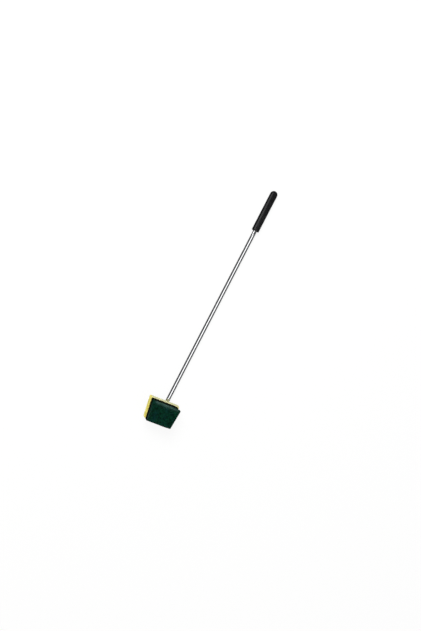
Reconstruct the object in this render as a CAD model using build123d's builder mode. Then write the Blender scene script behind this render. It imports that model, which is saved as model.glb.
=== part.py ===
"""A long-handled window scrubber: chrome tube, slip-on grip, clamped holder and a pull-off pad.

The scrubber lies on its back. Z points out of the scouring face, Y runs along the tube towards the
grip, and X points right when the scouring face is looked at with the grip at the top. The origin is
on the flat back of the clamp cover, below the tube's centre line and midway along the socket.
All sizes are in millimetres.
"""

from build123d import *
from math import cos, radians, sin, sqrt
import os

# Clearances
fit_gap = 0.03
pad_gap = 0.3
cut_overrun = 1.0

# Tube
tube_od = 9.5
tube_wall = 0.9
tube_length = 600.0
tube_end_chamfer = 0.3

# Grip
grip_od = 18.2
grip_length = 106.0
grip_bore_depth = 95.0
grip_lip_round = 1.4

# Socket that the tube is clamped in
socket_depth = 34.0
socket_end_wall = 4.0
socket_corner_round = 4.0
socket_outer_wall = 1.6
cover_back_round = 1.2

# Plug in the tube's end
plug_length = 31.0
plug_chamfer = 0.8

# Spring pin across the tube
pin_od = 3.0
pin_bore = 1.8
pin_slot = 0.6
pin_seat_depth = 3.6

# Clamp screws
screw_shank_d = 3.0
screw_head_d = 5.6
screw_head_height = 2.0
screw_head_round = 0.5
screw_head_clearance = 0.3
screw_shank_clearance = 0.2
screw_sink = 1.0
screw_tip_skin = 1.6
screw_tip_chamfer = 0.6
screw_to_bore_wall = 1.8
screw_end_margin = 6.0
recess_width = 0.8
recess_span = 3.0
recess_depth = 1.0

# Holder plate
plate_width = 42.0
plate_height = 42.0
plate_thickness = 2.5
plate_corner_round = 10.0
plate_over_tube = 1.2
plate_edge_round = 0.6
rim_width = 1.6
rim_height = 1.5
rib_width = 1.4
rib_count = 3
rib_spacing = 11.0

# Hook and loop fastener
hook_thickness = 1.0
hook_margin = 2.5
loop_thickness = 0.8
loop_inset = 4.0

# Pad: width at the handle side, width at the far side, and height
pad_top_width = 76.5
pad_bottom_width = 63.5
pad_height = 55.5
pad_over_plate = 6.5
pad_offset = 9.5
pad_askew_degrees = 3.0
pad_corner_round = 3.0
sponge_thickness = 14.0
sponge_edge_round = 0.8

# Pad: the two scouring layers are cut by hand, so each lies a little unlike the sponge's outline
scour_corner_round = 1.5
black_thickness = 15.0
black_top_inset = 2.0
black_right_inset = 5.0
black_far_overhang = 1.0
black_left_inset = 3.5
green_thickness = 12.0
green_top_inset = 3.5
green_right_inset = 0.5
green_far_inset = 2.5
green_left_inset = 3.5
green_rim_round = 1.2

# Levels above the surface that the scrubber lies on
tube_axis_z = grip_od / 2
plate_front_z = tube_axis_z + tube_od / 2 + fit_gap + plate_over_tube
plate_back_z = plate_front_z - plate_thickness
rim_back_z = plate_back_z - rim_height
hook_front_z = plate_front_z + hook_thickness
loop_back_z = hook_front_z + pad_gap
sponge_back_z = loop_back_z + loop_thickness
black_back_z = sponge_back_z + sponge_thickness
green_back_z = black_back_z + black_thickness
green_front_z = green_back_z + green_thickness

# Places along the tube
socket_length = socket_depth + socket_end_wall
socket_mouth_y = socket_length / 2
tube_start_y = socket_mouth_y - socket_depth
tube_stop_y = tube_start_y + tube_length
grip_start_y = tube_stop_y - grip_bore_depth
grip_stop_y = grip_start_y + grip_length
pad_top_y = plate_height / 2 + pad_over_plate

# The tube's bore is cut past both the socket's mouth and the edge of the plate
bore_cut_length = max(socket_mouth_y, plate_height / 2) - tube_start_y + cut_overrun

# Screws sit outside the tube's bore, and the socket block is just wide enough for their heads
socket_bore_r = tube_od / 2 + fit_gap
head_hole_r = screw_head_d / 2 + screw_head_clearance
shank_hole_r = screw_shank_d / 2 + screw_shank_clearance
thread_hole_r = screw_shank_d / 2 + fit_gap
screw_x = socket_bore_r + screw_to_bore_wall + head_hole_r
screw_y = socket_length / 2 - screw_end_margin
socket_width = 2 * (screw_x + head_hole_r + socket_outer_wall)
head_seat_z = screw_sink + screw_head_height
screw_tip_z = plate_front_z - screw_tip_skin
screw_spots = GridLocations(2 * screw_x, 2 * screw_y, 2, 2)

# The pin runs across the tube, level with its centre line
pin_length = tube_od + 2 * pin_seat_depth
pin_hole_r = pin_od / 2 + fit_gap

# The pad's sides draw in by this much for each millimetre away from the handle
pad_taper_share = (pad_top_width - pad_bottom_width) / 2 / pad_height
pad_slant_share = sqrt(1 + pad_taper_share**2)

# How far each layer's four sides are drawn in: towards the handle, right, far end, left
loop_insets = (loop_inset, loop_inset, loop_inset, loop_inset)
sponge_insets = (0, 0, 0, 0)
black_insets = (black_top_inset, black_right_inset, -black_far_overhang, black_left_inset)
green_insets = (green_top_inset, green_right_inset, green_far_inset, green_left_inset)

# Planes: across the tube at its lower end, and across the pin at its left end
tube_plane = Plane(origin=(0, tube_start_y, tube_axis_z), x_dir=(1, 0, 0), z_dir=(0, 1, 0))
pin_plane = Plane(origin=(-pin_length / 2, 0, tube_axis_z), x_dir=(0, 1, 0), z_dir=(1, 0, 0))


def pad_plane(level):
    """The plane of a pad layer: its origin is the middle of the pad's edge on the handle side."""
    turn = radians(pad_askew_degrees)
    corner = (-pad_offset, pad_top_y, level)
    return Plane(origin=corner, x_dir=(cos(turn), sin(turn), 0), z_dir=(0, 0, 1))


def pad_corners(top_inset, right_inset, far_inset, left_inset):
    """Corners of the pad's outline with its four sides drawn in, from the upper left, clockwise."""
    top_y = -top_inset
    far_y = far_inset - pad_height
    top_half = pad_top_width / 2 + pad_taper_share * top_y
    far_half = pad_top_width / 2 + pad_taper_share * far_y
    right_in = right_inset * pad_slant_share
    left_in = left_inset * pad_slant_share
    return [
        (left_in - top_half, top_y),
        (top_half - right_in, top_y),
        (far_half - right_in, far_y),
        (left_in - far_half, far_y),
    ]


def pad_layer(name, insets, level, thickness, corner_round, back_round=0, front_round=0):
    """One flat layer of the pad with rounded corners, and rounded edges where a radius is given."""
    with BuildPart() as layer:
        with BuildSketch(pad_plane(level)):
            with BuildLine():
                Polyline(*pad_corners(*insets), close=True)
            make_face()
            fillet(vertices(), radius=corner_round)
        extrude(amount=thickness)
        if back_round:
            fillet(faces().sort_by(Axis.Z)[0].edges(), radius=back_round)
        if front_round:
            fillet(faces().sort_by(Axis.Z)[-1].edges(), radius=front_round)
    layer.part.label = name
    return layer


# Chrome-plated tube with a cross hole for the pin
with BuildPart() as handle_tube:
    with BuildSketch(tube_plane):
        Circle(tube_od / 2)
        Circle(tube_od / 2 - tube_wall, mode=Mode.SUBTRACT)
    extrude(amount=tube_length)
    outer_ends = edges().filter_by(GeomType.CIRCLE).group_by(SortBy.RADIUS)[-1]
    chamfer(outer_ends, length=tube_end_chamfer)
    with BuildSketch(pin_plane):
        Circle(pin_hole_r)
    extrude(amount=pin_length, mode=Mode.SUBTRACT)
handle_tube.part.label = "handle_tube"

# Nylon plug inside the tube's lower end
with BuildPart() as tube_plug:
    with BuildSketch(tube_plane):
        Circle(tube_od / 2 - tube_wall - fit_gap)
    extrude(amount=plug_length)
    chamfer(edges().filter_by(GeomType.CIRCLE), length=plug_chamfer)
    with BuildSketch(pin_plane):
        Circle(pin_hole_r)
    extrude(amount=pin_length, mode=Mode.SUBTRACT)
tube_plug.part.label = "tube_plug"

# Slotted spring pin
with BuildPart() as lock_pin:
    with BuildSketch(pin_plane):
        Circle(pin_od / 2)
        Circle(pin_bore / 2, mode=Mode.SUBTRACT)
        with Locations((pin_od / 2, 0)):
            Rectangle(pin_od, pin_slot, mode=Mode.SUBTRACT)
    extrude(amount=pin_length)
lock_pin.part.label = "lock_pin"

# Slip-on grip: open end with a rounded lip, far end a half-round dome over solid rubber
with BuildPart() as hand_grip:
    with BuildSketch(Plane.YZ):
        with BuildLine():
            lip_outer = Line((grip_start_y, tube_axis_z), (grip_start_y, grip_od - grip_lip_round))
            lip_turn = (grip_start_y + grip_lip_round, grip_od)
            lip_arc = RadiusArc(lip_outer @ 1, lip_turn, grip_lip_round)
            flank = Line(lip_arc @ 1, (grip_stop_y - grip_od / 2, grip_od))
            dome = RadiusArc(flank @ 1, (grip_stop_y, tube_axis_z), grip_od / 2)
            Line(dome @ 1, lip_outer @ 0)
        make_face()
    revolve(axis=Axis((0, 0, tube_axis_z), (0, 1, 0)))
    with BuildSketch(tube_plane.offset(tube_length - grip_bore_depth)):
        Circle(tube_od / 2 + fit_gap)
    extrude(amount=grip_bore_depth, mode=Mode.SUBTRACT)
hand_grip.part.label = "hand_grip"

# Holder: plate with a stiffening rim and ribs, and the front half of the socket on its back
with BuildPart() as holder:
    with BuildSketch(Plane.XY.offset(plate_back_z)):
        RectangleRounded(plate_width, plate_height, plate_corner_round)
    extrude(amount=plate_thickness)
    fillet(faces().sort_by(Axis.Z)[-1].edges(), radius=plate_edge_round)
    with BuildSketch(Plane.XY.offset(rim_back_z)):
        RectangleRounded(plate_width, plate_height, plate_corner_round)
        offset(amount=-rim_width, mode=Mode.SUBTRACT)
        with GridLocations(0, rib_spacing, 1, rib_count):
            Rectangle(plate_width - rim_width, rib_width)
    extrude(amount=rim_height)
    with BuildSketch(Plane.XY.offset(tube_axis_z)):
        RectangleRounded(socket_width, socket_length, socket_corner_round)
    extrude(amount=plate_back_z - tube_axis_z)
    with BuildSketch(tube_plane):
        Circle(socket_bore_r)
    extrude(amount=bore_cut_length, mode=Mode.SUBTRACT)
    with BuildSketch(pin_plane.offset(-fit_gap)):
        Circle(pin_hole_r)
    extrude(amount=pin_length + 2 * fit_gap, mode=Mode.SUBTRACT)
    with BuildSketch(Plane.XY.offset(tube_axis_z)):
        with screw_spots:
            Circle(thread_hole_r)
    extrude(amount=screw_tip_z + fit_gap - tube_axis_z, mode=Mode.SUBTRACT)
holder.part.label = "holder"

# Clamp cover: the back half of the socket, with sunk holes for the screws
with BuildPart() as clamp_cover:
    with BuildSketch(Plane.XY):
        RectangleRounded(socket_width, socket_length, socket_corner_round)
    extrude(amount=tube_axis_z)
    fillet(faces().sort_by(Axis.Z)[0].edges(), radius=cover_back_round)
    with BuildSketch(tube_plane):
        Circle(socket_bore_r)
    extrude(amount=bore_cut_length, mode=Mode.SUBTRACT)
    with BuildSketch(pin_plane.offset(-fit_gap)):
        Circle(pin_hole_r)
    extrude(amount=pin_length + 2 * fit_gap, mode=Mode.SUBTRACT)
    with BuildSketch(Plane.XY):
        with screw_spots:
            Circle(shank_hole_r)
    extrude(amount=tube_axis_z, mode=Mode.SUBTRACT)
    with BuildSketch(Plane.XY):
        with screw_spots:
            Circle(head_hole_r)
    extrude(amount=head_seat_z, mode=Mode.SUBTRACT)
clamp_cover.part.label = "clamp_cover"

# Four pan head screws, heads down in the cover's back
with BuildPart() as clamp_screws:
    with BuildSketch(Plane.XY.offset(screw_sink)):
        with screw_spots:
            Circle(screw_head_d / 2)
    extrude(amount=screw_head_height)
    head_rims = edges().filter_by(GeomType.CIRCLE).group_by(Axis.Z)[0]
    fillet(head_rims, radius=screw_head_round)
    with BuildSketch(Plane.XY.offset(head_seat_z)):
        with screw_spots:
            Circle(screw_shank_d / 2)
    extrude(amount=screw_tip_z - head_seat_z)
    tip_rims = edges().filter_by(GeomType.CIRCLE).group_by(Axis.Z)[-1]
    chamfer(tip_rims, length=screw_tip_chamfer)
    with BuildSketch(Plane.XY.offset(screw_sink)):
        with screw_spots:
            Rectangle(recess_span, recess_width)
            Rectangle(recess_width, recess_span)
    extrude(amount=recess_depth, mode=Mode.SUBTRACT)
clamp_screws.part.label = "clamp_screws"

# Hook fastener on the holder's front
with BuildPart() as hook_sheet:
    with BuildSketch(Plane.XY.offset(plate_front_z)):
        RectangleRounded(plate_width, plate_height, plate_corner_round)
        offset(amount=-hook_margin, mode=Mode.REPLACE)
    extrude(amount=hook_thickness)
hook_sheet.part.label = "hook_sheet"

# The pad that pulls off: loop fastener, sponge, black layer and scouring layer
loop_sheet = pad_layer(
    "loop_sheet", loop_insets, loop_back_z, loop_thickness, pad_corner_round
)
sponge = pad_layer(
    "sponge",
    sponge_insets,
    sponge_back_z,
    sponge_thickness,
    pad_corner_round,
    sponge_edge_round,
    sponge_edge_round,
)
black_pad = pad_layer(
    "black_pad", black_insets, black_back_z, black_thickness, scour_corner_round
)
green_pad = pad_layer(
    "green_pad",
    green_insets,
    green_back_z,
    green_thickness,
    scour_corner_round,
    front_round=green_rim_round,
)

os.makedirs("parts", exist_ok=True)
pieces = [
    handle_tube,
    tube_plug,
    lock_pin,
    hand_grip,
    holder,
    clamp_cover,
    clamp_screws,
    hook_sheet,
    loop_sheet,
    sponge,
    black_pad,
    green_pad,
]
for piece in pieces:
    export_step(piece.part, f"parts/{piece.part.label}.step")
    box = piece.part.bounding_box()
    print(f"{piece.part.label}: {box.size.X:.1f} x {box.size.Y:.1f} x {box.size.Z:.1f} mm")
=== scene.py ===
"""Looks of the long-handled window scrubber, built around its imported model.

The scrubber lies on its back. Z points out of the scouring face, Y runs along the tube towards the
grip, and X points right when the scouring face is looked at with the grip at the top. Sizes are
written in millimetres and turned to metres where a mesh, a lamp or the camera is made.
"""

import logging
import math
from dataclasses import dataclass, field
from enum import Enum
from typing import Any

import bmesh
import bpy
import numpy as np
from bpy.types import Material, Node, NodeSocket, Object, World
from mathutils import Matrix, Vector, noise
from mathutils.bvhtree import BVHTree
from mathutils.kdtree import KDTree

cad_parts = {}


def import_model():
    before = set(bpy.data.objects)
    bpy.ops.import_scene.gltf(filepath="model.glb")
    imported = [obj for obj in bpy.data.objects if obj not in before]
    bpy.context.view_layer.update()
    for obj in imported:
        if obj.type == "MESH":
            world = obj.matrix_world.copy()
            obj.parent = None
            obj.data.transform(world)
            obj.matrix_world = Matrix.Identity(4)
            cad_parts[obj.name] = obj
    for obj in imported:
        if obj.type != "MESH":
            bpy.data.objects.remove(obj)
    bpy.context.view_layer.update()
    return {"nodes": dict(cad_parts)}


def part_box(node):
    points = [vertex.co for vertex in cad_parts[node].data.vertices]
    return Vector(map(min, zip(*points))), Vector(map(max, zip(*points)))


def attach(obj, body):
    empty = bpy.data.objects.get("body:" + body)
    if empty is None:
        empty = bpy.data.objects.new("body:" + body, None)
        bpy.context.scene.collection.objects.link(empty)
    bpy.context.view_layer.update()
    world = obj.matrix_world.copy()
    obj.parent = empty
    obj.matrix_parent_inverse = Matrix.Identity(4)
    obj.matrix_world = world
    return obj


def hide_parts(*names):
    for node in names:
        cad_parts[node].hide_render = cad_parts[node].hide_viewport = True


MM = 0.001
Faces = list[tuple[int, ...]]
Mesh = tuple[np.ndarray, Faces]
Span = tuple[float, float]
Spot = tuple[float, float, float]
Stops = tuple[tuple[float, str], ...]
log = logging.getLogger("window_scrubber")


class Body(Enum):
    """The two rigid bodies of the scrubber."""

    HANDLE = "handle"
    PAD = "pad"


class Slot(Enum):
    """The record's material slots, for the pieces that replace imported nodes."""

    CHROME = "chrome"
    GRIP = "grip_rubber"
    HOOKS = "hook_tape"
    LOOPS = "loop_tape"
    SPONGE = "yellow_sponge"
    BLACK_WEB = "black_web"
    GREEN_WEB = "green_web"


class Lay(Enum):
    """Which part of a pad layer its loose fibres cover."""

    ALL_OVER = "all_over"
    SIDES = "sides"


class Relief(Enum):
    """What a finish's fine relief is made of, by the node that draws it."""

    LUMPS = "TexNoise"
    WEAVE = "TexChecker"


def linear(code: str) -> tuple[float, float, float, float]:
    """Turn an sRGB hex colour into Blender's linear values.

    Args:
        code: the colour as "#RRGGBB".

    Returns:
        Red, green, blue and an alpha of one.
    """
    parts = [int(code[i : i + 2], 16) / 255 for i in (1, 3, 5)]
    red, green, blue = (c / 12.92 if c <= 0.04045 else ((c + 0.055) / 1.055) ** 2.4 for c in parts)
    return red, green, blue, 1.0


def repeats(size_mm: float) -> float:
    """Turn a pattern's real size in millimetres into its scale, in repeats for each metre."""
    return 1.0 / (size_mm * MM)


def blank(owner: Material | World) -> Material | World:
    """Empty the node tree of a new material or world.

    Args:
        owner: the material or the world.

    Returns:
        The same material or world.
    """
    owner.use_nodes = True
    owner.node_tree.nodes.clear()
    return owner


def add_node(
    owner: Material | World,
    kind: str,
    links: dict[str | int, Any] | None = None,
    stops: Stops = (),
    **settings: Any,
) -> Node:
    """Add one shader node with its settings and its links.

    Args:
        owner: the material, or the world, whose node tree the node joins.
        kind: Blender's name of the node's type, without "ShaderNode" in front.
        links: for each input, by name or number, a value, the socket that feeds it, the node
            whose first output does, or None to leave it as it is.
        stops: for a colour ramp, each place along it with its sRGB hex colour.
        settings: attributes of the node itself.

    Returns:
        The new node.
    """
    tree = owner.node_tree
    made = tree.nodes.new("ShaderNode" + kind)
    for name, value in settings.items():
        setattr(made, name, value)
    for number, (place, code) in enumerate(stops):
        elements = made.color_ramp.elements
        element = elements[number] if number < len(elements) else elements.new(place)
        element.position, element.color = place, linear(code)
    for name, value in (links or {}).items():
        source = value.outputs[0] if isinstance(value, Node) else value
        if isinstance(source, NodeSocket):
            tree.links.new(source, made.inputs[name])
        elif source is not None:
            made.inputs[name].default_value = source
    return made


@dataclass(frozen=True)
class Layer:
    """A colour laid over a finish, where a mesh's attribute says or else in soft blotches."""

    colour: str
    attribute: str | None = None
    most: float = 1.0
    blotch_mm: float = 16.0
    blotch_edges: Span = (0.52, 0.72)

    def lay(self, material: Material, place: NodeSocket, under: Node | NodeSocket) -> NodeSocket:
        """Add the layer's nodes.

        Args:
            material: the material that the nodes join.
            place: the object's coordinates, in metres.
            under: what gives the colour below the layer.

        Returns:
            What gives the colour with the layer.
        """
        if self.attribute:
            where = add_node(material, "Attribute", attribute_name=self.attribute).outputs["Fac"]
            share = add_node(material, "Math", {0: where, 1: self.most}, operation="MULTIPLY")
        else:
            blots = {"Vector": place, "Scale": repeats(self.blotch_mm), "Detail": 3.0}
            share = {"From Min": self.blotch_edges[0], "From Max": self.blotch_edges[1]}
            share["Value"] = add_node(material, "TexNoise", blots)
            share = add_node(material, "MapRange", share)
        mixed = {0: share, 6: under, 7: linear(self.colour)}
        return add_node(material, "Mix", mixed, data_type="RGBA").outputs[2]


@dataclass(frozen=True)
class Finish:
    """What every finish has: patches of a second colour or a duller sheen, over a fine relief.

    The relief's lumps or threads have the size of the grain, and can be stretched along the tube.
    """

    name: str
    colour: str
    patch_mm: float
    patch_detail: float
    roughness: float
    grain_mm: float
    grain_depth_mm: float
    patched: str | None = None
    edges: Span = (0.35, 0.7)
    relief: Relief = Relief.LUMPS
    grain_detail: float = 2.0
    grain_stretch: float = 1.0
    duller: float = 0.0
    dull_edges: Span = (0.35, 0.65)
    metallic: float = 0.0
    ior: float | None = None
    specular: float | None = None
    layers: tuple[Layer, ...] = ()

    def build(self) -> Material:
        """Make the finish's material.

        Returns:
            The material, which has one surface and an output.
        """
        material = blank(bpy.data.materials.new(self.name))
        place = add_node(material, "TexCoord").outputs["Object"]
        spread = {"Vector": place, "Scale": repeats(self.patch_mm), "Detail": self.patch_detail}
        spread = add_node(material, "TexNoise", spread)
        colour, roughness = linear(self.colour), self.roughness
        if self.patched:
            stops = tuple(zip(self.edges, (self.colour, self.patched)))
            colour = add_node(material, "ValToRGB", {"Fac": spread}, stops)
        for layer in self.layers:
            colour = layer.lay(material, place, colour)
        if self.duller:
            sheen = {"Value": spread, "To Min": roughness, "To Max": roughness + self.duller}
            sheen |= {"From Min": self.dull_edges[0], "From Max": self.dull_edges[1]}
            roughness = add_node(material, "MapRange", sheen)
        across, depth = repeats(self.grain_mm), self.grain_depth_mm * MM
        scale = (across, across / self.grain_stretch, across)
        grain = {"Vector": add_node(material, "Mapping", {"Vector": place, "Scale": scale})}
        if self.relief is Relief.LUMPS:
            grain["Detail"] = self.grain_detail
        grain = add_node(material, self.relief.value, grain | {"Scale": 1.0}).outputs["Fac"]
        surface = {
            "Base Color": colour,
            "Metallic": self.metallic,
            "Roughness": roughness,
            "IOR": self.ior,
            "Specular IOR Level": self.specular,
            "Normal": add_node(material, "Bump", {"Height": grain, "Distance": depth}),
        }
        surface = add_node(material, "BsdfPrincipled", surface)
        add_node(material, "OutputMaterial", {"Surface": surface})
        return material


@dataclass(frozen=True)
class ChromePlate(Finish):
    """Decorative chrome electroplated on a drawn and polished steel tube.

    To the eye it is a clear, neutral mirror. Drawing leaves hairlines along the tube, which smear a
    reflection lengthwise, and handling leaves slightly duller patches.
    """

    colour: str = "#EFF0F1"
    patch_mm: float = 14.0
    patch_detail: float = 5.0
    roughness: float = 0.05
    grain_mm: float = 0.25
    grain_depth_mm: float = 0.002
    grain_stretch: float = 88.0
    duller: float = 0.08
    dull_edges: Span = (0.4, 0.65)
    metallic: float = 1.0


@dataclass(frozen=True)
class SoftVinyl(Finish):
    """Plasticised PVC, moulded over a smooth core.

    To the eye it is near black with a broad satin streak. The skin has a fine orange peel, and dust
    clings to it in faint patches that are paler and duller.
    """

    colour: str = "#09090A"
    patched: str = "#131315"
    edges: Span = (0.38, 0.68)
    patch_mm: float = 9.0
    patch_detail: float = 6.0
    roughness: float = 0.25
    grain_mm: float = 0.7
    grain_depth_mm: float = 0.02
    duller: float = 0.11
    ior: float = 1.54


@dataclass(frozen=True)
class MouldedPlastic(Finish):
    """Injection-moulded polypropylene or nylon from a spark-eroded mould.

    To the eye it is an even, slightly soft sheen over a very fine grain, with handled places a
    little paler. The grain is drawn twice as coarse as the real 0.1 mm, so that it shows.
    """

    colour: str = "#17181A"
    patched: str = "#232427"
    edges: Span = (0.4, 0.72)
    patch_mm: float = 6.0
    patch_detail: float = 5.0
    roughness: float = 0.41
    grain_mm: float = 0.22
    grain_depth_mm: float = 0.02
    grain_detail: float = 1.0
    duller: float = 0.13
    ior: float = 1.49


@dataclass(frozen=True)
class TurnedSteel(Finish):
    """Small cold-formed steel hardware, zinc plated or oiled.

    To the eye it is a grey, slightly blurred metal with duller blotches in its plating and fine
    marks from the tools.
    """

    colour: str = "#B9BBBD"
    patched: str = "#8E9092"
    patch_mm: float = 1.5
    patch_detail: float = 4.0
    roughness: float = 0.28
    grain_mm: float = 0.3
    grain_depth_mm: float = 0.004
    duller: float = 0.12
    metallic: float = 1.0


@dataclass(frozen=True)
class CellFoam(Finish):
    """Open-celled polyurethane sponge, dyed right through and cut from a block.

    To the eye it is dull and soft and uneven in its dye, with painted shade down its pores and a
    painted highlight along its top side, by the handle, but not at its left.
    """

    colour: str = "#DDCF66"
    patched: str = "#EADF7C"
    edges: Span = (0.36, 0.64)
    patch_mm: float = 9.0
    patch_detail: float = 6.0
    roughness: float = 0.95
    grain_mm: float = 0.55
    grain_depth_mm: float = 0.2
    grain_detail: float = 3.0
    specular: float = 0.2
    # first layer: painted shade down the pores; second: painted highlight on the top side by the
    # handle
    layers: tuple[Layer, ...] = (Layer("#B0A048", "painted_pore_shade"), Layer("#C9CAA6", "painted_top_light", 0.85))


@dataclass(frozen=True)
class FibreWeb(Finish):
    """Crimped nylon fibre laid loose and bonded with resin, dyed dark.

    To the eye it is a matt, mottled web that swallows light, with faint blotches where the resin
    lies thicker, greyish fibre ends where a blade has cut its sides, and a painted highlight along
    the edge by the handle. A real fibre is about 0.04 mm thick. The relief is drawn ten times as
    coarse, so that it shows.
    """

    colour: str = "#021B11"
    patched: str = "#063625"
    edges: Span = (0.36, 0.62)
    patch_mm: float = 5.0
    patch_detail: float = 8.0
    roughness: float = 0.8
    grain_mm: float = 0.45
    grain_depth_mm: float = 0.3
    grain_detail: float = 4.0
    specular: float = 0.06
    # the second layer is pale cut fibre ends together with a painted highlight along the edge by
    # the handle
    layers: tuple[Layer, ...] = (Layer("#07302F"), Layer("#405D56", "cut_ends_and_painted_light"))


@dataclass(frozen=True)
class NylonTape(Finish):
    """Woven nylon hook-and-loop tape.

    To the eye it is a dull woven ground, a little paler where the hooks or brushed loops catch the
    light. Its 0.3 mm threads are drawn twice as coarse, so that they show.
    """

    colour: str = "#17181A"
    patched: str = "#2A2B2E"
    patch_mm: float = 0.6
    patch_detail: float = 3.0
    roughness: float = 0.6
    grain_mm: float = 0.6
    grain_depth_mm: float = 0.08
    relief: Relief = Relief.WEAVE


def placed(data: bpy.types.Mesh | bpy.types.Camera | bpy.types.Light) -> Object:
    """Link an object to the scene for a mesh, a camera or a lamp.

    Args:
        data: the mesh, the camera or the lamp.

    Returns:
        The object, which takes its name from the data.
    """
    made = bpy.data.objects.new(data.name, data)
    bpy.context.scene.collection.objects.link(made)
    return made


def make_object(
    name: str,
    shape: Mesh,
    material: Material,
    layers: dict[str, np.ndarray] | None = None,
    smooth: bool = True,
) -> Object:
    """Make a mesh object from points in millimetres.

    Args:
        name: the piece's name.
        shape: the points, in millimetres, in the part's frame, and the points of each face.
        material: the finish of the whole mesh.
        layers: named values for each point, which the finish reads.
        smooth: whether the faces are shaded smooth.

    Returns:
        The object, linked to the scene.
    """
    mesh = bpy.data.meshes.new(name)
    mesh.from_pydata((shape[0] * MM).tolist(), [], shape[1])
    mesh.materials.append(material)
    for layer, values in (layers or {}).items():
        attribute = mesh.attributes.new(layer, "FLOAT", "POINT")
        attribute.data.foreach_set("value", values.astype(np.float32))
    if smooth:
        mesh.shade_smooth()
    mesh.update()
    return placed(mesh)


def normals_of(points: np.ndarray, faces: Faces) -> np.ndarray:
    """Work out each point's outward direction from the faces round it.

    Args:
        points: one row for each point.
        faces: quads or triangles.

    Returns:
        One unit vector for each point.
    """
    corners = np.array([face[:3] for face in faces])
    a, b, c = (points[corners[:, i]] for i in range(3))
    flat = np.cross(b - a, c - a)
    sums = np.zeros_like(points)
    for place in range(len(faces[0])):
        ring = np.array([face[place] for face in faces])
        np.add.at(sums, ring, flat)
    return sums / np.maximum(np.linalg.norm(sums, axis=1, keepdims=True), 1e-12)


def band(first: int, second: int, count: int) -> Faces:
    """Join two closed rings with quads, given the first point of each and how many it has."""
    return [
        (first + i, second + i, second + (i + 1) % count, first + (i + 1) % count)
        for i in range(count)
    ]


def joined(one: Mesh, other: Mesh) -> Mesh:
    """Put two lots of points and faces together, the second after the first."""
    shifted = [tuple(i + len(one[0]) for i in face) for face in other[1]]
    return np.concatenate([one[0], other[0]]), one[1] + shifted


def box_shell(cells: tuple[int, int, int]) -> Mesh:
    """Cut a box's surface into square cells.

    Args:
        cells: how many cells the box has along X, Y and Z.

    Returns:
        Each point's place from -1 to 1 along the three axes, and the quads, wound outwards.
    """
    index: dict[tuple[int, int, int], int] = {}
    quads: Faces = []
    steps = np.eye(3, dtype=int)
    for axis in range(3):
        first, second = steps[(axis + 1) % 3], steps[(axis + 2) % 3]
        for i in range(cells[(axis + 1) % 3]):
            for j in range(cells[(axis + 2) % 3]):
                base = first * i + second * j
                for level in (0, cells[axis]):
                    foot = base + steps[axis] * level
                    ring = [foot, foot + first, foot + first + second, foot + second]
                    ring = ring if level else ring[::-1]
                    quads.append(tuple(index.setdefault(tuple(p), len(index)) for p in ring))
    lattice = np.array(list(index), float)
    return lattice / (np.array(cells) / 2) - 1, quads


@dataclass(frozen=True)
class Strand:
    """Thin strands of one kind: hooks, loops or fibres."""

    radius_mm: float
    sides: int = 3

    def tubes(self, paths: np.ndarray, ups: np.ndarray) -> Mesh:
        """Turn paths into closed tubes.

        Args:
            paths: strands by points by three, in millimetres.
            ups: a direction roughly across each strand, strands by three.

        Returns:
            The tubes' points and quads, with a face at each end.
        """
        strands, steps, _ = paths.shape
        along = np.gradient(paths, axis=1)
        along /= np.maximum(np.linalg.norm(along, axis=2, keepdims=True), 1e-9)
        side = np.cross(along, ups[:, None, :])
        side /= np.maximum(np.linalg.norm(side, axis=2, keepdims=True), 1e-9)
        over = np.cross(side, along)
        turns = np.arange(self.sides) * 2 * math.pi / self.sides
        over, side = over[:, :, None, :], side[:, :, None, :]
        ring = np.cos(turns)[:, None] * over + np.sin(turns)[:, None] * side
        points = (paths[:, :, None, :] + self.radius_mm * ring).reshape(-1, 3)
        start = np.arange(strands)[:, None, None] * steps * self.sides
        step = np.arange(steps - 1)[None, :, None] * self.sides
        edge = np.arange(self.sides)[None, None, :]
        following = (edge + 1) % self.sides
        low, high = start + step, start + step + self.sides
        quads = np.stack([low + edge, low + following, high + following, high + edge], axis=-1)
        faces = [tuple(q) for q in quads.reshape(-1, 4).tolist()]
        for foot in range(0, len(points), steps * self.sides):
            head = foot + (steps - 1) * self.sides
            faces.append(tuple(range(foot + self.sides - 1, foot - 1, -1)))
            faces.append(tuple(range(head, head + self.sides)))
        return points, faces


@dataclass(frozen=True)
class Insets:
    """How far a layer's outline is drawn in from the pad's on each side, in millimetres."""

    handle: float
    right: float
    far: float
    left: float


@dataclass(frozen=True)
class PadShape:
    """The pad's outline: a block that tapers away from the handle, pressed on a little askew."""

    top_width: float = 76.5
    bottom_width: float = 63.5
    height: float = 55.5
    offset_x: float = -9.5
    top_y: float = 27.5
    askew_degrees: float = 3.0

    def place(self, points: np.ndarray) -> np.ndarray:
        """Move points from the pad's own axes into the part's frame.

        Args:
            points: places in millimetres, from the middle of the edge on the handle side.

        Returns:
            The same points in the part's frame, in millimetres.
        """
        turn = math.radians(self.askew_degrees)
        c, s = math.cos(turn), math.sin(turn)
        x = self.offset_x + c * points[:, 0] - s * points[:, 1]
        y = self.top_y + s * points[:, 0] + c * points[:, 1]
        return np.stack([x, y, points[:, 2]], axis=1)

    def edges(self, y: np.ndarray, insets: Insets) -> tuple[np.ndarray, np.ndarray]:
        """Give a layer's half width and middle at some places down it.

        Args:
            y: places from the handle side, zero to minus the height.
            insets: how far the layer's outline is drawn in.

        Returns:
            Half the width at each place, and the middle between the two edges.
        """
        taper = (self.top_width - self.bottom_width) / 2 / self.height
        slant = math.sqrt(1 + taper**2)
        half = self.top_width / 2 + taper * y - (insets.left + insets.right) / 2 * slant
        return half, np.full(len(y), (insets.left - insets.right) / 2 * slant)


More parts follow.
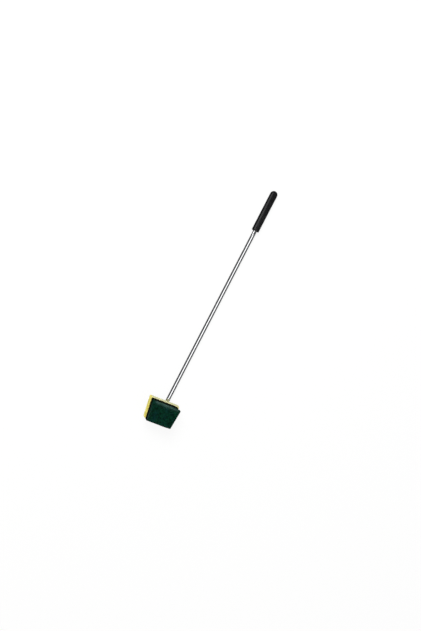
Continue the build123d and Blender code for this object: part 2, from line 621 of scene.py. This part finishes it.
@dataclass
class Slab:
    """A flat pad layer as a fine shell of small cells with rounded corners and rims.

    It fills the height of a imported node, but for a lift of its back.
    """

    shape: PadShape
    insets: Insets
    node: str
    corner_round: float
    low_rim: float
    high_rim: float
    cell: float
    lift: float = 0.0
    points: np.ndarray = field(init=False)
    faces: Faces = field(init=False)
    down: np.ndarray = field(init=False)
    across: np.ndarray = field(init=False)

    def __post_init__(self) -> None:
        """Build the shell, and note how far down and across the layer each point lies."""
        half_height = (self.shape.height - self.insets.handle - self.insets.far) / 2
        top, _ = self.shape.edges(np.array([-self.insets.handle]), self.insets)
        low, high = (corner.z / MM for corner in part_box(self.node))
        low += self.lift
        half = np.array([float(top[0]), half_height, (high - low) / 2])
        unit, self.faces = box_shell(tuple(max(2, round(2 * size / self.cell)) for size in half))
        flat, z = self.rounded(unit * half, half)
        y = flat[:, 1] - half_height - self.insets.handle
        widths, middles = self.shape.edges(y, self.insets)
        z += (low + high) / 2
        local = np.stack([flat[:, 0] * widths / half[0] + middles, y, z], axis=1)
        self.points = self.shape.place(local)
        self.down = -y - self.insets.handle
        self.across = unit[:, 0]

    def rounded(self, block: np.ndarray, half: np.ndarray) -> tuple[np.ndarray, np.ndarray]:
        """Round a block's upright edges, and the rims where its faces meet its sides.

        Args:
            block: the block's points, from its middle.
            half: half the block's size.

        Returns:
            The new X and Y, and the new heights.
        """
        inner = half[:2] - self.corner_round
        core = np.clip(block[:, :2], -inner, inner)
        out = block[:, :2] - core
        reach = np.abs(out).max(axis=1)
        flat = core + out * (reach / np.maximum(np.linalg.norm(out, axis=1), 1e-9))[:, None]
        moved, levels = flat.copy(), block[:, 2].copy()
        for rim, sign in ((self.low_rim, -1), (self.high_rim, 1)):
            out = reach - (self.corner_round - rim)
            up = sign * block[:, 2] - (half[2] - rim)
            near = (out > 0) & (up > 0)
            share = np.maximum(out, up)[near] / np.hypot(out, up)[near]
            core = np.clip(flat[near], -inner, inner)
            scale = (out[near] * share + self.corner_round - rim) / np.maximum(reach[near], 1e-9)
            moved[near] = core + (flat[near] - core) * scale[:, None]
            levels[near] = sign * (up[near] * share + half[2] - rim)
        return moved, levels

    def mesh(self) -> Mesh:
        """Return the shell's points and faces."""
        return self.points, self.faces

    def push(self, heights: np.ndarray) -> None:
        """Move each point outwards by its own height, in millimetres."""
        self.points = self.points + normals_of(*self.mesh()) * heights[:, None]


def ripple(points: np.ndarray, size_mm: float, seed: float, layers: int = 1) -> np.ndarray:
    """Read a smooth noise at each point.

    Args:
        points: places in millimetres.
        size_mm: the size of one lump.
        seed: an offset that picks another stretch of the noise.
        layers: how many layers of finer noise are added, each half the size and height.

    Returns:
        Values round zero, mostly within one.
    """
    shift = Vector((seed, 2 * seed, 3 * seed))
    total = np.zeros(len(points))
    for layer in range(layers):
        scale = 2**layer / size_mm
        values = [noise.noise(Vector(p) * scale + shift) for p in points]
        total += np.array(values) / 2**layer
    return total


@dataclass(frozen=True)
class WebLayer:
    """One non-woven layer: its cut, rims, pale sides, painted edge highlight and how many fibres it
    sheds.
    """

    node: str
    slot: Slot
    finish: Finish
    insets: Insets
    lay: Lay
    front_rim: float
    fibres: int
    seed: int
    cut_low: float = 0.3
    # how far the painted highlight along the edge by the handle reaches
    painted_edge_light_mm: float = 3.5


# the second layer is pale cut fibre ends together with a painted highlight by the handle
BLACK_LAYERS = (Layer("#0A0E0A"), Layer("#131910", "cut_ends_and_painted_light"))


def settle(
    piece: Object, body: Body, node: str | None = None
) -> None:
    """Fix a piece to its body, hide the node that it replaces, and log how many points it has.

    Args:
        piece: the piece.
        body: the body that it moves with.
        node: the node that it replaces, or none.
    """
    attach(piece, body.value)
    if node:
        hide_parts(node)
    log.info("%s: %d points", piece.name, len(piece.data.vertices))


@dataclass
class PulledPad:
    """The pad that pulls off: loop tape, yellow sponge, black layer and green scouring layer.

    Swell, grit and lumps are given by their height and their size.
    """

    shape: PadShape = PadShape()
    seed: int = 11
    sponge_cell: float = 0.5
    sponge_corner: float = 3.0
    sponge_rim: float = 0.8
    sponge_fill: float = 0.5
    sponge_swell: Span = (0.12, 9.0)
    sponge_grit: Span = (0.05, 1.1)
    swollen_mm: float = 0.8
    # reach of the painted highlight on the sponge's top side, down from the handle edge
    painted_top_light_mm: float = 3.5
    pore_count: int = 5200
    pore_small: float = 0.3
    pore_large: float = 1.15
    pore_depth: float = 0.6
    web_cell: float = 0.6
    web_corner: float = 1.5
    web_back_rim: float = 0.5
    web_fill: float = 0.8
    web_lumps: tuple[Span, ...] = ((0.2, 6.0), (0.12, 1.3))
    fibre: Strand = Strand(0.11)
    fibre_length: float = 7.0
    fibre_steps: int = 6
    fibre_lift: float = 0.22
    loop: Strand = Strand(0.07)
    loop_count: int = 2200
    loop_height: float = 0.25
    loop_half_width: float = 0.5
    loop_inset: float = 4.0
    loop_cell: float = 1.6
    loop_rim: float = 0.15
    sponge_finish: Finish = CellFoam("dyed_sponge")
    green: WebLayer = WebLayer(
        "green_pad", Slot.GREEN_WEB, FibreWeb("green_fibre_web"), Insets(3.5, 0.5, 2.5, 3.5),
        Lay.ALL_OVER, front_rim=1.2, fibres=5200, seed=12,
    )
    black: WebLayer = WebLayer(
        "black_pad", Slot.BLACK_WEB,
        FibreWeb("black_fibre_web", "#050805", patched="#10150E", layers=BLACK_LAYERS),
        Insets(2.0, 5.0, -1.0, 2.9), Lay.SIDES, front_rim=0.6, fibres=1600, seed=13,
    )
    loop_finish: Finish = NylonTape("brushed_loop_tape", "#1C1D1F", patched="#303236")

    def build(self) -> None:
        """Build the four layers."""
        self.build_sponge()
        self.build_web(self.green)
        self.build_web(self.black)
        self.build_loops()

    def build_sponge(self) -> None:
        """Build the yellow sponge with real pores and a painted highlight by the handle, not at its
        left.
        """
        rng = np.random.default_rng(self.seed)
        rounds = (self.sponge_corner, self.sponge_rim, self.sponge_rim)
        insets = Insets(0.0, 0.0, 0.0, -self.swollen_mm)
        slab = Slab(self.shape, insets, "sponge", *rounds, self.sponge_cell)
        # painted highlight: the sponge is paler along its top side by the handle, fading off at its
        # left
        painted_top_light = np.clip(1.2 - slab.down / self.painted_top_light_mm, 0, 1)
        painted_top_light *= np.interp(slab.across, (-0.99, -0.8), (0.0, 1.0))
        height, size = self.sponge_swell
        slab.push(height * ripple(slab.points, size, 3.1, 2))
        depth = self.pores(slab.points, rng)
        slab.push(-self.pore_depth * depth)
        height, size = self.sponge_grit
        slab.push(height * ripple(slab.points, size, 5.7))
        # painted shade in the pores, and the painted highlight by the handle, for the finish to
        # read
        layers = {"painted_pore_shade": depth**2, "painted_top_light": painted_top_light}
        piece = make_object("sponge_foam", slab.mesh(), self.sponge_finish.build(), layers)
        settle(piece, Body.PAD, "sponge")

    def pores(self, points: np.ndarray, rng: np.random.Generator) -> np.ndarray:
        """Choose pores over a surface.

        Args:
            points: the surface's points, in millimetres.
            rng: the source of random draws.

        Returns:
            How deep each point lies in a pore, from zero to one.
        """
        tree = KDTree(len(points))
        for number, point in enumerate(points):
            tree.insert(point, number)
        tree.balance()
        depth = np.zeros(len(points))
        small, large = self.pore_small, self.pore_large
        sizes = small + (large - small) * rng.random(self.pore_count) ** 3
        for centre, size in zip(rng.integers(0, len(points), self.pore_count), sizes):
            level = 0.35 + 0.65 * min(1.0, size / large * 1.6)  # small pores are shallow
            for _, number, distance in tree.find_range(points[centre], size):
                bowl = level * (1 - (distance / size) ** 3)
                depth[number] = max(depth[number], bowl)
        return depth

    def build_web(self, layer: WebLayer) -> None:
        """Build one non-woven layer and the fibres that stand out of it.

        Args:
            layer: the layer.
        """
        rng = np.random.default_rng(layer.seed)
        material = layer.finish.build()
        rounds = (self.web_corner, self.web_back_rim, layer.front_rim)
        slab = Slab(self.shape, layer.insets, layer.node, *rounds, self.web_cell)
        cut_ends_and_painted_light = self.pale_share(slab, layer)
        for (height, size), offset in zip(self.web_lumps, (0.3, 0.7)):
            slab.push(height * ripple(slab.points, size, layer.seed + offset, 2))
        name = layer.node + "_web"
        piece = make_object(name, slab.mesh(), material, {"cut_ends_and_painted_light": cut_ends_and_painted_light})
        settle(piece, Body.PAD, layer.node)
        fibres, starts = self.fibres(slab, layer, rng)
        tint = np.repeat(cut_ends_and_painted_light[starts], self.fibre_steps * self.fibre.sides)
        web = make_object(name + "_fibres", fibres, material, {"cut_ends_and_painted_light": tint})
        settle(web, Body.PAD)

    def pale_share(self, slab: Slab, layer: WebLayer) -> np.ndarray:
        """Say how pale a layer is: a little on its cut sides, and more as a painted highlight by
        the handle.

        Args:
            slab: the layer's shell.
            layer: the layer.

        Returns:
            For each point, how much pale colour shows, from cut ends and painted highlight, zero to
            one.
        """
        normals = normals_of(*slab.mesh())
        sides = np.clip(1.25 * (1 - np.abs(normals[:, 2])), 0, 1)
        sides *= layer.cut_low * np.interp(slab.down, (2.0, 25.0), (0.1, 1.0))
        # painted highlight along the edge by the handle: fading towards both ends of it, in soft
        # patches
        edge_light_across = np.interp(slab.across, (-0.9, -0.7, 0.2, 0.95), (0.0, 1.0, 1.0, 0.3))
        patchy = np.clip(0.85 + 0.6 * ripple(slab.points, 12.0, layer.seed + 0.5), 0.4, 1)
        painted_edge_light = np.clip(1.25 - slab.down / layer.painted_edge_light_mm, 0, 1)
        return np.clip(sides + painted_edge_light * edge_light_across * patchy, 0, 1)

    def fibres(
        self, slab: Slab, layer: WebLayer, rng: np.random.Generator
    ) -> tuple[Mesh, np.ndarray]:
        """Lay curved fibres over a layer's surface.

        A real fibre is about 0.04 mm thick. These are drawn thicker, so that they show.

        Args:
            slab: the layer's shell.
            layer: the layer, which says how many fibres lie where.
            rng: the source of random draws.

        Returns:
            The fibres' points and faces, and the point of the shell where each fibre starts.
        """
        normals = normals_of(*slab.mesh())
        tree = BVHTree.FromPolygons([Vector(p) for p in slab.points], slab.faces)
        steep = 1 - np.abs(normals[:, 2])
        pool = np.flatnonzero(steep > (0.6 if layer.lay is Lay.SIDES else -1.0))
        count = layer.fibres
        starts = rng.choice(pool, count)
        turns = rng.random(count) * 2 * math.pi
        bends = rng.normal(0, 0.35, count)
        lengths = self.fibre_length * (0.5 + rng.random(count))
        lifts = self.fibre_lift * rng.random((count, self.fibre_steps))
        paths = np.zeros((count, self.fibre_steps, 3))
        ups = normals[starts]
        for number in range(count):
            up = Vector(ups[number])
            side = up.orthogonal().normalized()
            ahead = Matrix.Rotation(turns[number], 3, up) @ side
            here = Vector(slab.points[starts[number]])
            stride = lengths[number] / (self.fibre_steps - 1)
            for step in range(self.fibre_steps):
                spot, up, _, _ = tree.find_nearest(here)
                paths[number, step] = spot + up * float(lifts[number, step])
                ahead = Matrix.Rotation(bends[number], 3, up) @ ahead
                ahead = (ahead - up * ahead.dot(up)).normalized()
                here = spot + ahead * stride
        return self.fibre.tubes(paths, ups), starts

    def build_loops(self) -> None:
        """Build the loop tape: a thin ground with small brushed loops all over its back."""
        rng = np.random.default_rng(self.seed + 3)
        rounds = (self.sponge_corner, self.loop_rim, self.loop_rim, self.loop_cell)
        insets = Insets(*[self.loop_inset] * 4)
        slab = Slab(self.shape, insets, "loop_sheet", *rounds, self.loop_height)
        down = slab.points[normals_of(*slab.mesh())[:, 2] < -0.9]
        feet = down[rng.integers(0, len(down), self.loop_count)]
        feet = feet + rng.uniform(-0.8, 0.8, feet.shape) * (1, 1, 0)
        turns = rng.random(self.loop_count) * 2 * math.pi
        across = np.stack([np.cos(turns), np.sin(turns), 0 * turns], axis=1)
        swing = np.linspace(0, math.pi, 6)
        reach = self.loop_height - 2 * self.loop.radius_mm
        width = -np.cos(swing)[None, :, None] * self.loop_half_width
        paths = feet[:, None, :] + across[:, None, :] * width
        paths[:, :, 2] -= np.sin(swing) * reach
        loops = self.loop.tubes(paths, np.cross(across, (0, 0, 1.0)))
        piece = make_object("loop_tape", joined(slab.mesh(), loops), self.loop_finish.build())
        settle(piece, Body.PAD, "loop_sheet")


@dataclass
class Handle:
    """The tube, the slip-on grip and the clamped holder with its hook tape."""

    tube_facets: int = 72
    tube_pitch: float = 10.0
    tube_wall: float = 0.9
    tube_edge: float = 0.3
    grip_facets: int = 96
    grip_dome_steps: int = 18
    grip_gap: float = 0.03
    mouth_edge: float = 0.3
    lip_round: float = 1.4
    seam_height: float = 0.07
    hook: Strand = Strand(0.1, 4)
    hook_pitch: float = 1.5
    hook_margin: float = 1.5
    hook_height: float = 0.75
    hook_bend: float = 0.24
    hook_corner: float = 7.5
    chrome: Finish = ChromePlate("chrome_plated_steel")
    vinyl: Finish = SoftVinyl("soft_black_vinyl")
    plastic: Finish = MouldedPlastic("moulded_black_polypropylene")
    nylon: Finish = MouldedPlastic("natural_nylon", "#D6D3C6", patched="#C9C5B4", roughness=0.35)
    zinc: Finish = TurnedSteel("zinc_plated_steel")
    spring: Finish = TurnedSteel("oiled_spring_steel", "#6E6F72", patched="#4A4B4D", roughness=0.35)
    tape: Finish = NylonTape("nylon_hook_tape")

    def build(self, nodes: dict[str, Object]) -> None:
        """Dress the carried-over nodes and build the pieces that replace the others.

        Args:
            nodes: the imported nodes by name.
        """
        plastic = self.plastic.build()
        dress(nodes["holder"], plastic)
        dress(nodes["clamp_cover"], plastic)
        dress(nodes["clamp_screws"], self.zinc.build())
        dress(nodes["lock_pin"], self.spring.build())
        dress(nodes["tube_plug"], self.nylon.build())
        self.build_tube()
        self.build_grip()
        self.build_hooks()

    def revolve(self, outline: list[Span], axis_z: float, facets: int, seam: float = 0.0) -> Mesh:
        """Turn a closed outline about the tube's centre line.

        Args:
            outline: places along the tube with their radius, in order round the outline.
            axis_z: the height of the centre line.
            facets: how many facets go round.
            seam: how far the mould's parting line stands proud, at both sides.

        Returns:
            The points and the quads.
        """
        along, radius = np.array(outline).T[:, :, None]
        turns = np.arange(facets) * 2 * math.pi / facets
        proud = np.zeros(facets)
        proud[[0, facets // 2]] = seam
        radius = radius + np.where(radius > 1e-6, proud, 0)
        spots = (radius * np.cos(turns), along + 0 * turns, axis_z + radius * np.sin(turns))
        count = len(outline)
        rings = [(ring * facets, (ring + 1) % count * facets) for ring in range(count)]
        faces = [quad for low, high in rings for quad in band(low, high, facets)]
        return np.stack(spots, axis=2).reshape(-1, 3), faces

    def build_tube(self) -> None:
        """Build the chrome tube with a fine round section, open at both ends."""
        low, high = (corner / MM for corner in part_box("handle_tube"))
        outer, edge = (high.x - low.x) / 2, self.tube_edge
        inner = outer - self.tube_wall
        spans = max(2, round((high.y - low.y) / self.tube_pitch))
        outline = [(low.y, inner), (low.y, outer - edge)]
        outline += [(float(y), outer) for y in np.linspace(low.y + edge, high.y - edge, spans)]
        outline += [(high.y, outer - edge), (high.y, inner)]
        shape = self.revolve(outline, (low.z + high.z) / 2, self.tube_facets)
        piece = make_object("handle_tube_chrome", shape, self.chrome.build())
        settle(piece, Body.HANDLE, "handle_tube")

    def build_grip(self) -> None:
        """Build the slip-on grip: rounded lip, long barrel, domed end and parting line."""
        low, high = (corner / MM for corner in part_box("hand_grip"))
        tube_low, tube_high = (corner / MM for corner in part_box("handle_tube"))
        radius, lip, edge = (high.z - low.z) / 2, self.lip_round, self.mouth_edge
        bore = (tube_high.x - tube_low.x) / 2 + self.grip_gap
        outline = [(tube_high.y, 0.0), (tube_high.y, bore), (low.y + edge, bore)]
        outline += [(low.y, bore + edge)]
        for turn in np.linspace(0, math.pi / 2, 7):
            side = radius - lip * (1 - math.sin(turn))
            outline.append((low.y + lip * (1 - math.cos(turn)), side))
        barrel = np.linspace(low.y + lip, high.y - radius, 26)[1:-1]
        outline += [(float(y), radius) for y in barrel]
        for turn in np.linspace(0, math.pi / 2, self.grip_dome_steps):
            outline.append((high.y - radius * (1 - math.sin(turn)), radius * math.cos(turn)))
        axis_z = (low.z + high.z) / 2
        shape = self.revolve(outline, axis_z, self.grip_facets, self.seam_height)
        piece = make_object("hand_grip_vinyl", shape, self.vinyl.build())
        weld(piece)
        settle(piece, Body.HANDLE, "hand_grip")

    def build_hooks(self) -> None:
        """Build the hook tape: a thin ground with rows of small bent hooks."""
        low, high = (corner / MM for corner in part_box("hook_sheet"))
        middle = np.array([low.x + high.x, low.y + high.y]) / 2
        size = np.array([high.x - low.x, high.y - low.y])
        ground = high.z - self.hook_height
        plate = rounded_plate(middle, size, self.hook_corner, low.z, ground)
        counts = ((size - 2 * self.hook_margin) / self.hook_pitch).astype(int)
        spots = []
        for row in range(counts[1]):
            for column in range(counts[0]):
                spot = (np.array([column, row]) - (counts - 1) / 2) * self.hook_pitch
                out = np.maximum(np.abs(spot) - size / 2 + self.hook_corner, 0)
                if np.hypot(*out) < self.hook_corner - 1:
                    spots.append((*(spot + middle), row % 2))
        bend = self.hook_bend
        rise = self.hook_height - bend - 2 * self.hook.radius_mm
        curl = [(0.0, -0.1), (0.0, rise * 0.6)]
        for turn in np.linspace(0, 1.25 * math.pi, 7):
            curl.append((bend - bend * math.cos(turn), rise + bend * math.sin(turn)))
        x, y, odd = np.array(spots).T[:, :, None]
        out, up = np.array(curl).T
        paths = np.stack([x + 0 * out, y + (2 * odd - 1) * out, 0 * x + ground + up], axis=2)
        hooks = self.hook.tubes(paths, np.tile((1.0, 0.0, 0.0), (len(spots), 1)))
        piece = make_object("hook_tape", joined(plate, hooks), self.tape.build(), smooth=False)
        settle(piece, Body.HANDLE, "hook_sheet")


def dress(node: Object, material: Material) -> None:
    """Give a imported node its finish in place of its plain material."""
    node.data.materials.clear()
    node.data.materials.append(material)


def weld(piece: Object) -> None:
    """Join the points of a piece that lie on one another, as at the tip of a dome.

    Args:
        piece: the piece.
    """
    soup = bmesh.new()
    soup.from_mesh(piece.data)
    bmesh.ops.remove_doubles(soup, verts=soup.verts, dist=1e-6)
    bmesh.ops.dissolve_degenerate(soup, edges=soup.edges, dist=1e-7)
    bmesh.ops.recalc_face_normals(soup, faces=soup.faces)
    soup.to_mesh(piece.data)
    soup.free()
    piece.data.shade_smooth()


def rounded_plate(
    middle: np.ndarray, size: np.ndarray, corner: float, low: float, high: float
) -> Mesh:
    """Make a flat plate with round corners.

    Args:
        middle: X and Y of its middle.
        size: its size along X and Y.
        corner: radius of its corners.
        low: height of its back.
        high: height of its front.

    Returns:
        Its points and faces.
    """
    outline = []
    for quarter, signs in enumerate(((1, 1), (-1, 1), (-1, -1), (1, -1))):
        for turn in np.linspace(quarter, quarter + 1, 9) * math.pi / 2:
            around = np.array([math.cos(turn), math.sin(turn)])
            outline.append(middle + (size / 2 - corner) * signs + corner * around)
    count = len(outline)
    points = np.array([(*spot, level) for level in (low, high) for spot in outline])
    back, front = tuple(range(count - 1, -1, -1)), tuple(range(count, 2 * count))
    return points, [back, front, *band(count, 0, count)]


@dataclass(frozen=True)
class CameraPlace:
    """Where the camera stands: a swing about the tube, a lift towards the grip and a lean."""

    aim: Spot = (-4.25, 260.82, 17.04)
    distance: float = 2000.0
    swing_degrees: float = 15.95
    lift_degrees: float = 3.76
    lean_degrees: float = -27.3
    lens: float = 47.37
    sensor: float = 36.0

    def build(self) -> None:
        """Make the camera and hand it to the scene."""
        where = Matrix.Translation(Vector(self.aim) * MM)
        turns = {"Y": self.swing_degrees, "X": self.lift_degrees, "Z": self.lean_degrees}
        for axis, degrees in turns.items():
            where = where @ Matrix.Rotation(-math.radians(degrees), 4, axis)
        data = bpy.data.cameras.new("photo_camera")
        data.lens, data.sensor_width = self.lens, self.sensor
        camera = placed(data)
        camera.matrix_world = where @ Matrix.Translation((0, 0, self.distance * MM))
        bpy.context.scene.camera = camera


@dataclass(frozen=True)
class Lamp:
    """A soft square lamp that points at the scrubber and stays out of its reflections."""

    name: str
    place: Spot
    size: float
    watts: float
    aim: Spot = (0.0, 200.0, 20.0)

    def build(self) -> None:
        """Make the lamp."""
        data = bpy.data.lights.new(self.name, "AREA")
        data.size, data.energy = self.size * MM, self.watts
        lamp = placed(data)
        lamp.location = spot = Vector(self.place) * MM
        lamp.rotation_euler = (Vector(self.aim) * MM - spot).to_track_quat("-Z", "Y").to_euler()
        lamp.visible_glossy = False


@dataclass(frozen=True)
class Station:
    """One rib of the tent: its place along the tube, and the lamp strip in the tent's roof there.

    The strip's edges are in degrees from straight up towards the left. Its glow is how much
    brighter than white the strip is.
    """

    y: float
    left: float
    right: float
    glow: float


@dataclass(frozen=True)
class Tent:
    """A dark tent round the scrubber, with a lamp strip in its roof, that only reflections see.

    The strip gives the chrome its one bright stripe and the grip its streak, and the cloth gives
    them their dark sides. The cloth is darkest by the strip and lighter lower down, so that the
    chrome looks round from every side.
    """

    radius: float = 260.0
    foot_degrees: float = 93.0
    floor_gap: float = 0.4
    axis_z: float = 9.1
    cloth: str = "#5C5D5E"
    shaded: float = 0.45
    lit: float = 1.7
    facets: int = 20
    stations: tuple[Station, ...] = (
        Station(-300.0, 32.0, -12.0, 1.6),
        Station(488.0, 32.0, -12.0, 1.6),
        Station(492.0, 68.0, 36.0, 2.3),
        Station(530.0, 70.0, 38.0, 1.8),
        Station(575.0, 82.0, 48.0, 1.2),
        Station(900.0, 90.0, 52.0, 1.0),
    )

    def rib(self, y: float, start: float, stop: float) -> list[Spot]:
        """Give points round the tent at one place, between two angles from straight up."""
        turns, far = np.radians(np.linspace(start, stop, self.facets + 1)), self.radius
        return [(-far * math.sin(a), y, self.axis_z + far * math.cos(a)) for a in turns]

    def sheet(self, name: str, rows: list[tuple[float, ...]], material: Material) -> None:
        """Make one sheet of the tent from end to end.

        Args:
            name: the sheet's name.
            rows: for each station, the sheet's first and last angle, and its glow at each.
            material: the sheet's material.
        """
        points, faces, glow, row = [], [], [], self.facets + 1
        for number, (station, (start, stop, first, last)) in enumerate(zip(self.stations, rows)):
            points += self.rib(station.y, start, stop)
            glow += list(np.linspace(first, last, row))
            for step in range(self.facets if number else 0):
                low = (number - 1) * row + step
                faces.append((low, low + 1, low + row + 1, low + row))
        self.hang(name, (np.array(points), faces), material, np.array(glow))

    def glowing(self, name: str, code: str) -> Material:
        """Make a material that glows in one colour, as strongly as each point's glow says.

        Args:
            name: the material's name.
            code: its sRGB hex colour.

        Returns:
            The material.
        """
        material = blank(bpy.data.materials.new(name))
        glow = add_node(material, "Attribute", attribute_name="glow").outputs["Fac"]
        light = add_node(material, "Emission", {"Color": linear(code), "Strength": glow})
        add_node(material, "OutputMaterial", {"Surface": light})
        return material

    def hang(
        self, name: str, shape: Mesh, material: Material, glow: np.ndarray, smooth: bool = True
    ) -> None:
        """Make a sheet that is hidden from everything but reflections, and stage it.

        Args:
            name: the sheet's name.
            shape: its points and faces.
            material: its material, which reads the glow.
            glow: how bright each point is.
            smooth: whether it is shaded smooth.
        """
        sheet = make_object(name, shape, material, {"glow": glow}, smooth)
        sheet.visible_camera = sheet.visible_diffuse = False
        sheet.visible_shadow = sheet.visible_transmission = False

    def build(self) -> None:
        """Make the two walls, the lamp strip, the floor sheet and the two ends."""
        cloth, foot = self.glowing("dark_tent_cloth", self.cloth), self.foot_degrees
        ribs, wall = self.stations, (self.lit, self.shaded)
        self.sheet("tent_left", [(foot, rib.left, *wall) for rib in ribs], cloth)
        self.sheet("tent_right", [(-foot, rib.right, *wall) for rib in ribs], cloth)
        strip = [(rib.left, rib.right, rib.glow, rib.glow) for rib in ribs]
        self.sheet("tent_strip", strip, self.glowing("lamp_strip", "#FFFFFF"))
        ends = (ribs[0].y, ribs[-1].y)
        ring = [(x, y, self.floor_gap) for y in ends for x in (-self.radius, self.radius)]
        faces = [(0, 1, 3, 2)]
        for y in ends:
            faces.append(tuple(range(len(ring), len(ring) + self.facets + 1)))
            ring += self.rib(y, foot, -foot)
        glow = np.full(len(ring), self.shaded)
        self.hang("tent_floor_and_ends", (np.array(ring), faces), cloth, glow, smooth=False)


@dataclass
class Studio:
    """A pale table, soft lamps, the dark tent and the camera."""

    floor_size: float = 12000.0
    floor_colour: str = "#F8F8F7"
    floor_glow_share: float = 0.9
    sky_colour: str = "#FFFFFF"
    sky_strength: float = 0.36
    camera: CameraPlace = CameraPlace()
    tent: Tent = Tent()
    lamps: tuple[Lamp, ...] = (
        Lamp("key_lamp", (-1500.0, 1700.0, 2600.0), 1500.0, 108.0),
        Lamp("fill_lamp", (1200.0, -600.0, 2600.0), 1800.0, 12.0),
    )

    def build(self) -> None:
        """Make the table, the sky, the lamps, the tent and the camera."""
        bpy.context.scene.view_settings.view_transform = "Standard"
        self.build_floor()
        self.build_sky()
        for item in (*self.lamps, self.tent, self.camera):
            item.build()

    def white_share(self, owner: Material | World) -> Node:
        """Add a switch that is one for the rays of the camera, of reflections and through glass.

        Args:
            owner: the material or the world that the switch joins.

        Returns:
            The switch.
        """
        ways = add_node(owner, "LightPath").outputs
        seen = {0: ways["Is Camera Ray"], 1: ways["Is Glossy Ray"]}
        seen = add_node(owner, "Math", seen, operation="ADD")
        through = {0: seen, 1: ways["Is Transmission Ray"]}
        return add_node(owner, "Math", through, operation="ADD", use_clamp=True)

    def build_floor(self) -> None:
        """Make the table, which stays white to the camera and the chrome, under a soft shadow."""
        ring = np.array([(-1, -1, 0), (1, -1, 0), (1, 1, 0), (-1, 1, 0)]) * self.floor_size / 2
        material = blank(bpy.data.materials.new("pale_table"))
        board = {"Base Color": linear(self.floor_colour), "Roughness": 0.9}
        board = add_node(material, "BsdfPrincipled", board)
        glow = add_node(material, "Emission", {"Strength": 1.0})
        share = {0: self.white_share(material), 1: self.floor_glow_share}
        share = add_node(material, "Math", share, operation="MULTIPLY")
        mixed = add_node(material, "MixShader", {0: share, 1: board, 2: glow})
        add_node(material, "OutputMaterial", {"Surface": mixed})
        make_object("pale_table", (ring, [(0, 1, 2, 3)]), material, smooth=False)

    def build_sky(self) -> None:
        """Make the sky: a plain soft light that the camera and the chrome see as white."""
        world = blank(bpy.data.worlds.new("white_studio"))
        bpy.context.scene.world = world
        light = {"Value": self.white_share(world), "To Min": self.sky_strength, "To Max": 1.0}
        light = add_node(world, "MapRange", light)
        sky = {"Color": linear(self.sky_colour), "Strength": light}
        add_node(world, "OutputWorld", {"Surface": add_node(world, "Background", sky)})


def main() -> None:
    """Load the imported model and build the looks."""
    logging.basicConfig(level=logging.INFO, format="%(name)s: %(message)s")
    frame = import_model()
    Studio().build()
    Handle().build(frame["nodes"])
    PulledPad().build()


if __name__ == "__main__":
    main()
